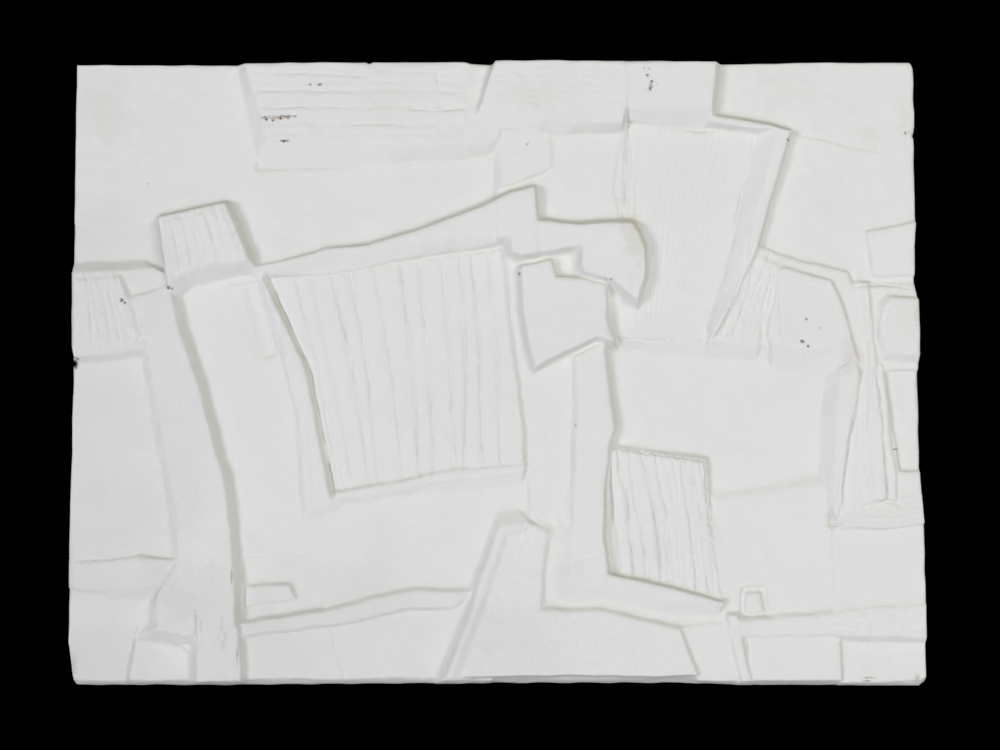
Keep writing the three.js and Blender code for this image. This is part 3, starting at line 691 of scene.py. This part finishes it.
# Values of a grid field at places on the finished panel
def readField(grid, field, x, z):
    left = np.interp(z, grid["zs"], grid["front"]["left"])
    right = np.interp(z, grid["zs"], grid["front"]["right"])
    bottom = np.interp(x, grid["xs"], grid["front"]["bottom"])
    top = np.interp(x, grid["xs"], grid["front"]["top"])
    column = np.clip((x - left) / (right - left), 0, 1) * (field.shape[1] - 1)
    row = np.clip((z - bottom) / (top - bottom), 0, 1) * (field.shape[0] - 1)
    c = np.minimum(column.astype(int), field.shape[1] - 2)
    r = np.minimum(row.astype(int), field.shape[0] - 2)
    a, b = column - c, row - r
    low = field[r, c] * (1 - a) + field[r, c + 1] * a
    high = field[r + 1, c] * (1 - a) + field[r + 1, c + 1] * a
    return low * (1 - b) + high * b


# Dust that settled on ledges and in recesses, together with painted shade on slopes facing up and to the
# right and in recesses, and painted shade darkening the pits
def dustAndShadeFields(grid, heights):
    step = (panel["height"] / relief["rows"], panel["width"] / relief["columns"])
    upward, sideways = np.gradient(blurred(heights, 0.0007), *step)
    # painted shade and dust: an olive tint on slopes that face up and, less, to the right
    ledgeDustAndShade = np.clip(-upward - 0.35 * sideways, 0, 1.6) / 1.6
    # painted shade and dust: an olive tint in hollows lower than their surroundings
    recessDustAndShade = np.clip((blurred(heights, 0.0028) - heights) / 0.0016, 0, 1)
    # painted shade: the insides of the holes are darkened
    paintedPitShade = np.zeros(grid["x"].shape)
    for hole in holes:
        paintedPitShade = np.maximum(paintedPitShade, smoothStep(1.0, 0.4, holeReach(grid, hole)))
    return {"ledgeDustAndShade": blurred(ledgeDustAndShade, 0.0008), "recessDustAndShade": recessDustAndShade, "paintedPitShade": paintedPitShade, "torn": roughness(grid)}


def addAttribute(mesh, name, kind, values):
    layer = mesh.attributes.new(name, kind, "POINT")
    field = "vector" if kind == "FLOAT_VECTOR" else "value"
    layer.data.foreach_set(field, values.astype(np.float32).ravel())


def makeRelief(material):
    grid = makeGrid()
    heights, rimDistance = carveHeights(grid)
    print("carved", heights.size, "heights from the cast solid")
    mesh = closedPanel(grid, heights)
    total, front = len(mesh.vertices), heights.size
    across, along, depth = strokeMaps(grid)
    strokes = np.zeros((total, 3))
    strokes[:front, 0] = across.ravel()
    strokes[:front, 1] = along.ravel()
    strokeDepth = np.zeros(total)
    strokeDepth[:front] = depth.ravel()
    face = np.zeros(total)
    face[:front] = smoothStep(0.0008, 0.003, rimDistance).ravel()
    rough = np.zeros(total)
    rough[:front] = roughness(grid).ravel()
    addAttribute(mesh, "strokes", "FLOAT_VECTOR", strokes)
    addAttribute(mesh, "strokeDepth", "FLOAT", strokeDepth)
    addAttribute(mesh, "face", "FLOAT", face)
    addAttribute(mesh, "rough", "FLOAT", rough)
    draft = bpy.data.objects.new("castDraft", mesh)
    bpy.context.scene.collection.objects.link(draft)
    skin = draft.modifiers.new("skin", "NODES")
    skin.node_group = makeSkinTree(material)
    setInputs(skin, {**plasterSkin, "Material": material})
    thinned = draft.modifiers.new("thinned", "DECIMATE")
    thinned.ratio = relief["finishedFaces"] / (2 * front * 1.03)
    finished = plainMesh(draft)
    print("relief skin:", len(finished.polygons), "faces")
    bpy.data.objects.remove(draft)
    for name in ("strokes", "strokeDepth", "face", "rough"):
        if name in finished.attributes:
            finished.attributes.remove(finished.attributes[name])
    places = np.empty(len(finished.vertices) * 3)
    finished.vertices.foreach_get("co", places)
    x, y, z = places.reshape(-1, 3).T
    onFace = y < -panel["slab"] + 0.003
    # dust, painted shade and roughness, stored on the finished mesh for the plaster
    for name, field in dustAndShadeFields(grid, heights).items():
        addAttribute(finished, name, "FLOAT", readField(grid, field, x, z) * onFace)
    finished.polygons.foreach_set("use_smooth", np.ones(len(finished.polygons), bool))
    finished.set_sharp_from_angle(angle=math.radians(62))
    finished.name = "plaster_relief"
    piece = bpy.data.objects.new("plaster_relief", finished)
    bpy.context.scene.collection.objects.link(piece)
    return piece


# Plaster: off-white, faintly mottled, with its stains, dust and painted shade

plasterLook = {
    "colour": (0.804, 0.804, 0.815, 1),
    "worn": (0.771, 0.769, 0.775, 1),
    # olive tint for dust and painted shade on ledges and in recesses
    "dustAndShade": (0.58, 0.575, 0.45, 1),
    "ledgeDustAndShadeAmount": 0.54,
    "recessDustAndShadeAmount": 0.24,
    # near-black painted shade for the insides of the holes
    "pitShadeColour": (0.045, 0.042, 0.035, 1),
    "pitShadeAmount": 0.6,
    "roughness": 0.85,
    "cloudScale": 14.0,
    "dustAndShadeScale": 60.0,
    "stainScales": (110.0, 700.0),   # for broad and for small stains
    "grainScale": 520.0,
    "grainHeight": 0.00015,
    "tornGrain": 1.6,          # how much more the grain stands out on rough plaster
}

# Stains and darkening: place, half width and half height in metres, strength, colour. They run through the
# whole thickness. The two grey ones darken the panel towards its left and lower edges; the olive one
# beside the blade is a painted shadow, and the black ones over holes are painted shade. The two grey ones
# darken the left and lower edges, which may be fall-off of light.
stainsAndDarkening = [
    {"at": (0, 300), "size": (0.120, 0.300), "strength": 0.34, "colour": "grey"},
    {"at": (150, 0), "size": (0.300, 0.100), "strength": 0.36, "colour": "grey"},
    {"at": (36, 905), "size": (0.016, 0.026), "strength": 0.11, "colour": "olive"},
    {"at": (32, 305), "size": (0.012, 0.012), "strength": 0.08, "colour": "olive"},
    {"at": (90, 203), "size": (0.008, 0.003), "strength": 0.28, "colour": "olive"},
    {"at": (545, 945), "size": (0.022, 0.012), "strength": 0.10, "colour": "olive"},
    {"at": (365, 928), "size": (0.016, 0.018), "strength": 0.06, "colour": "olive"},
    {"at": (945, 885), "size": (0.008, 0.012), "strength": 0.11, "colour": "olive"},
    {"at": (984, 915), "size": (0.007, 0.016), "strength": 0.09, "colour": "olive"},
    {"at": (848, 958), "size": (0.022, 0.012), "strength": 0.05, "colour": "olive"},
    # painted shadow: olive darkening along the right side of the raised blade
    {"at": (662, 715), "size": (0.009, 0.024), "strength": 0.26, "colour": "olive"},
    {"at": (976, 585), "size": (0.013, 0.020), "strength": 0.08, "colour": "olive"},
    {"at": (918, 520), "size": (0.008, 0.014), "strength": 0.13, "colour": "brown"},
    {"at": (5, 25), "size": (0.004, 0.014), "strength": 0.36, "colour": "brown"},
    {"at": (2, 190), "size": (0.003, 0.030), "strength": 0.24, "colour": "olive"},
    {"at": (998, 590), "size": (0.004, 0.012), "strength": 0.24, "colour": "brown"},
    {"at": (240, 911), "size": (0.009, 0.0017), "strength": 0.48, "colour": "rust"},
    # painted shade: the next five black spots sit over holes and darken their insides
    {"at": (252, 913), "size": (0.006, 0.0009), "strength": 0.62, "colour": "black"},
    {"at": (226, 911), "size": (0.0032, 0.0009), "strength": 0.60, "colour": "black"},
    {"at": (250, 873), "size": (0.0040, 0.0008), "strength": 0.70, "colour": "black"},
    {"at": (291, 965), "size": (0.0021, 0.0011), "strength": 0.55, "colour": "black"},
    {"at": (684, 962), "size": (0.0018, 0.0026), "strength": 0.42, "colour": "black"},
    {"at": (990, 10), "size": (0.0027, 0.0030), "strength": 0.36, "colour": "rust"},
    {"at": (934, 11), "size": (0.0050, 0.0010), "strength": 0.55, "colour": "rust"},
    {"at": (931, 6), "size": (0.0030, 0.0008), "strength": 0.60, "colour": "black"},
    # painted shade: these two black spots sit over holes and darken their insides
    {"at": (4, 514), "size": (0.0020, 0.0036), "strength": 0.60, "colour": "black"},
    {"at": (998, 882), "size": (0.0011, 0.0024), "strength": 0.60, "colour": "black"},
    {"at": (969, 373), "size": (0.0026, 0.0007), "strength": 0.60, "colour": "black"},
    {"at": (192, 175), "size": (0.0010, 0.0070), "strength": 0.42, "colour": "black"},
    {"at": (199, 50), "size": (0.0008, 0.0080), "strength": 0.36, "colour": "black"},
]

patchColours = {
    "grey": (0.62, 0.62, 0.62, 1),
    "olive": (0.52, 0.50, 0.34, 1),
    "brown": (0.38, 0.30, 0.20, 1),
    "rust": (0.30, 0.15, 0.05, 1),
    "black": (0.020, 0.018, 0.015, 1),
}


# A ragged patch: 1 inside, 0 outside. The noise handed in runs from 0 to 1.
def makePatchTree():
    size = "NodeSocketFloat"
    tree, start, end = newTree("raggedPatch", "ShaderNodeTree", [
        ("Place", "NodeSocketVector", None), ("Noise", size, None),
        ("Middle X", size, None), ("Middle Z", size, None),
        ("Half Width", size, None), ("Half Height", size, None), ("Raggedness", size, 2.8),
    ], [("Mask", size)])
    asked = start.outputs
    split = addNode(tree, "ShaderNodeSeparateXYZ", sockets={0: asked["Place"]})
    across = maths(tree, "DIVIDE", maths(tree, "SUBTRACT", split.outputs["X"], asked["Middle X"]),
                   asked["Half Width"])
    upright = maths(tree, "DIVIDE", maths(tree, "SUBTRACT", split.outputs["Z"], asked["Middle Z"]),
                    asked["Half Height"])
    around = addNode(tree, "ShaderNodeCombineXYZ", sockets={"X": across, "Y": upright})
    length = addNode(tree, "ShaderNodeVectorMath", {"operation": "LENGTH"}, {0: around.outputs[0]})
    torn = maths(tree, "SUBTRACT", asked["Noise"], 0.5)
    reach = maths(tree, "MULTIPLY_ADD", torn, asked["Raggedness"], length.outputs["Value"])
    fall = addNode(tree, "ShaderNodeMapRange", {"interpolation_type": "SMOOTHSTEP"}, {
        "Value": reach, "From Min": 0.1, "From Max": 1.3, "To Min": 1.0, "To Max": 0.0})
    tree.links.new(fall.outputs[0], end.inputs["Mask"])
    return tree


def mixColours(tree, share, first, second):
    node = addNode(tree, "ShaderNodeMix", {"data_type": "RGBA"}, {"Factor": share, 6: first, 7: second})
    return node.outputs[2]


def makePlaster():
    material = bpy.data.materials.new("castPlaster")
    material.use_nodes = True
    tree = material.node_tree
    tree.nodes.clear()
    place = addNode(tree, "ShaderNodeTexCoord").outputs["Object"]
    cloud = addNode(tree, "ShaderNodeTexNoise", sockets={
        "Vector": place, "Scale": plasterLook["cloudScale"], "Detail": 5.0})
    tone = addNode(tree, "ShaderNodeMapRange", sockets={
        "Value": cloud.outputs["Fac"], "From Min": 0.35, "From Max": 0.75, "To Min": 0.0, "To Max": 0.6})
    colour = mixColours(tree, tone.outputs[0], plasterLook["colour"], plasterLook["worn"])

    # dust and painted shade on slopes facing up and to the right and in recesses, thicker where the cloud
    # noise is high
    dustAndShadeNoise = addNode(tree, "ShaderNodeTexNoise", sockets={
        "Vector": place, "Scale": plasterLook["dustAndShadeScale"], "Detail": 4.0})
    uneven = maths(tree, "ADD", dustAndShadeNoise.outputs["Fac"], 0.5)
    for name, share in (("ledgeDustAndShade", "ledgeDustAndShadeAmount"), ("recessDustAndShade", "recessDustAndShadeAmount")):
        field = addNode(tree, "ShaderNodeAttribute", {"attribute_name": name}).outputs["Fac"]
        dustAndShade = maths(tree, "MULTIPLY", maths(tree, "MULTIPLY", field, uneven), plasterLook[share])
        colour = mixColours(tree, dustAndShade, colour, plasterLook["dustAndShade"])
    patch = makePatchTree()
    broad, fine = [
        addNode(tree, "ShaderNodeTexNoise", sockets={
            "Vector": place, "Scale": scale, "Detail": 4.0, "Roughness": 0.65})
        for scale in plasterLook["stainScales"]
    ]
    for patchEntry in stainsAndDarkening:
        smallest = min(patchEntry["size"])
        noise = cloud if smallest > 0.05 else broad if smallest > 0.005 else fine
        spot = addNode(tree, "ShaderNodeGroup", {"node_tree": patch}, {
            "Place": place, "Noise": noise.outputs["Fac"],
            "Middle X": placeX(patchEntry["at"][0]), "Middle Z": placeZ(patchEntry["at"][1]),
            "Half Width": patchEntry["size"][0], "Half Height": patchEntry["size"][1]})
        share = maths(tree, "MULTIPLY", spot.outputs["Mask"], patchEntry["strength"])
        colour = mixColours(tree, share, colour, patchColours[patchEntry["colour"]])
    # painted shade: the holes darkened towards near-black
    paintedPitShade = addNode(tree, "ShaderNodeAttribute", {"attribute_name": "paintedPitShade"}).outputs["Fac"]
    pitShadeShare = maths(tree, "MULTIPLY", paintedPitShade, plasterLook["pitShadeAmount"])
    colour = mixColours(tree, pitShadeShare, colour, plasterLook["pitShadeColour"])

    grain = addNode(tree, "ShaderNodeTexNoise", sockets={
        "Vector": place, "Scale": plasterLook["grainScale"], "Detail": 5.0})
    torn = addNode(tree, "ShaderNodeAttribute", {"attribute_name": "torn"}).outputs["Fac"]
    coarse = maths(tree, "MULTIPLY_ADD", torn, plasterLook["tornGrain"], 0.7)
    bump = addNode(tree, "ShaderNodeBump", sockets={
        "Height": maths(tree, "MULTIPLY", grain.outputs["Fac"], coarse),
        "Distance": plasterLook["grainHeight"], "Strength": 0.7})
    surface = addNode(tree, "ShaderNodeBsdfPrincipled", sockets={
        "Base Color": colour, "Roughness": plasterLook["roughness"], "Normal": bump.outputs[0]})
    surface.inputs["Specular IOR Level"].default_value = 0.25
    addNode(tree, "ShaderNodeOutputMaterial", sockets={"Surface": surface.outputs[0]})
    return material


# Camera, floor and lights

cameraPlace = {"at": (0.0004, -1.0085, -0.0644), "turn": (93.6, 0.137, -0.123), "lens": 50}


def makeCamera():
    data = bpy.data.cameras.new("camera")
    data.lens = cameraPlace["lens"]
    data.sensor_width = 36
    data.clip_end = 50
    camera = bpy.data.objects.new("camera", data)
    camera.location = cameraPlace["at"]
    camera.rotation_euler = [math.radians(angle) for angle in cameraPlace["turn"]]
    bpy.context.scene.collection.objects.link(camera)
    bpy.context.scene.camera = camera


studio = {
    "floorRadius": 2.6,
    "floorLevel": -1.75,
    "lights": [
        {"name": "front", "at": (0.6, -2.6, 0), "size": 3.6, "power": 52,
         "colour": (0.978, 0.982, 1.0)},
        {"name": "key", "at": (-3.69, -3.35, -0.45), "size": 1.35, "power": 90,
         "colour": (0.975, 0.983, 1.0)},
        {"name": "fill", "at": (1.88, -2.07, 1.08), "size": 0.8, "power": 14,
         "colour": (1.0, 0.95, 0.74)},
    ],
}


def makeStudio():
    bpy.ops.mesh.primitive_circle_add(vertices=96, radius=studio["floorRadius"], fill_type="NGON",
                                      location=(0, -0.4, studio["floorLevel"]))
    floor = bpy.context.object
    floor.name = "floor"
    material = bpy.data.materials.new("paleFloor")
    material.use_nodes = True
    shader = material.node_tree.nodes["Principled BSDF"]
    shader.inputs["Base Color"].default_value = (0.62, 0.62, 0.61, 1)
    shader.inputs["Roughness"].default_value = 0.9
    floor.data.materials.append(material)
    for light in studio["lights"]:
        data = bpy.data.lights.new(light["name"], "AREA")
        data.shape = "DISK"
        data.size = light["size"]
        data.energy = light["power"]
        data.color = light["colour"]
        lamp = bpy.data.objects.new(light["name"], data)
        lamp.location = light["at"]
        lamp.rotation_euler = (-Vector(light["at"])).to_track_quat("-Z", "Y").to_euler()
        bpy.context.scene.collection.objects.link(lamp)
    world = bpy.data.worlds.new("dark")
    world.use_nodes = True
    world.node_tree.nodes["Background"].inputs["Color"].default_value = (0, 0, 0, 1)
    bpy.context.scene.world = world
    bpy.context.scene.view_settings.view_transform = "Standard"


makeCamera()
makeStudio()
plaster = makePlaster()
piece = makeRelief(plaster)
if not piece.data.materials:
    piece.data.materials.append(plaster)
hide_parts("relief_panel")
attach(piece, "root")
print("plaster relief placed")
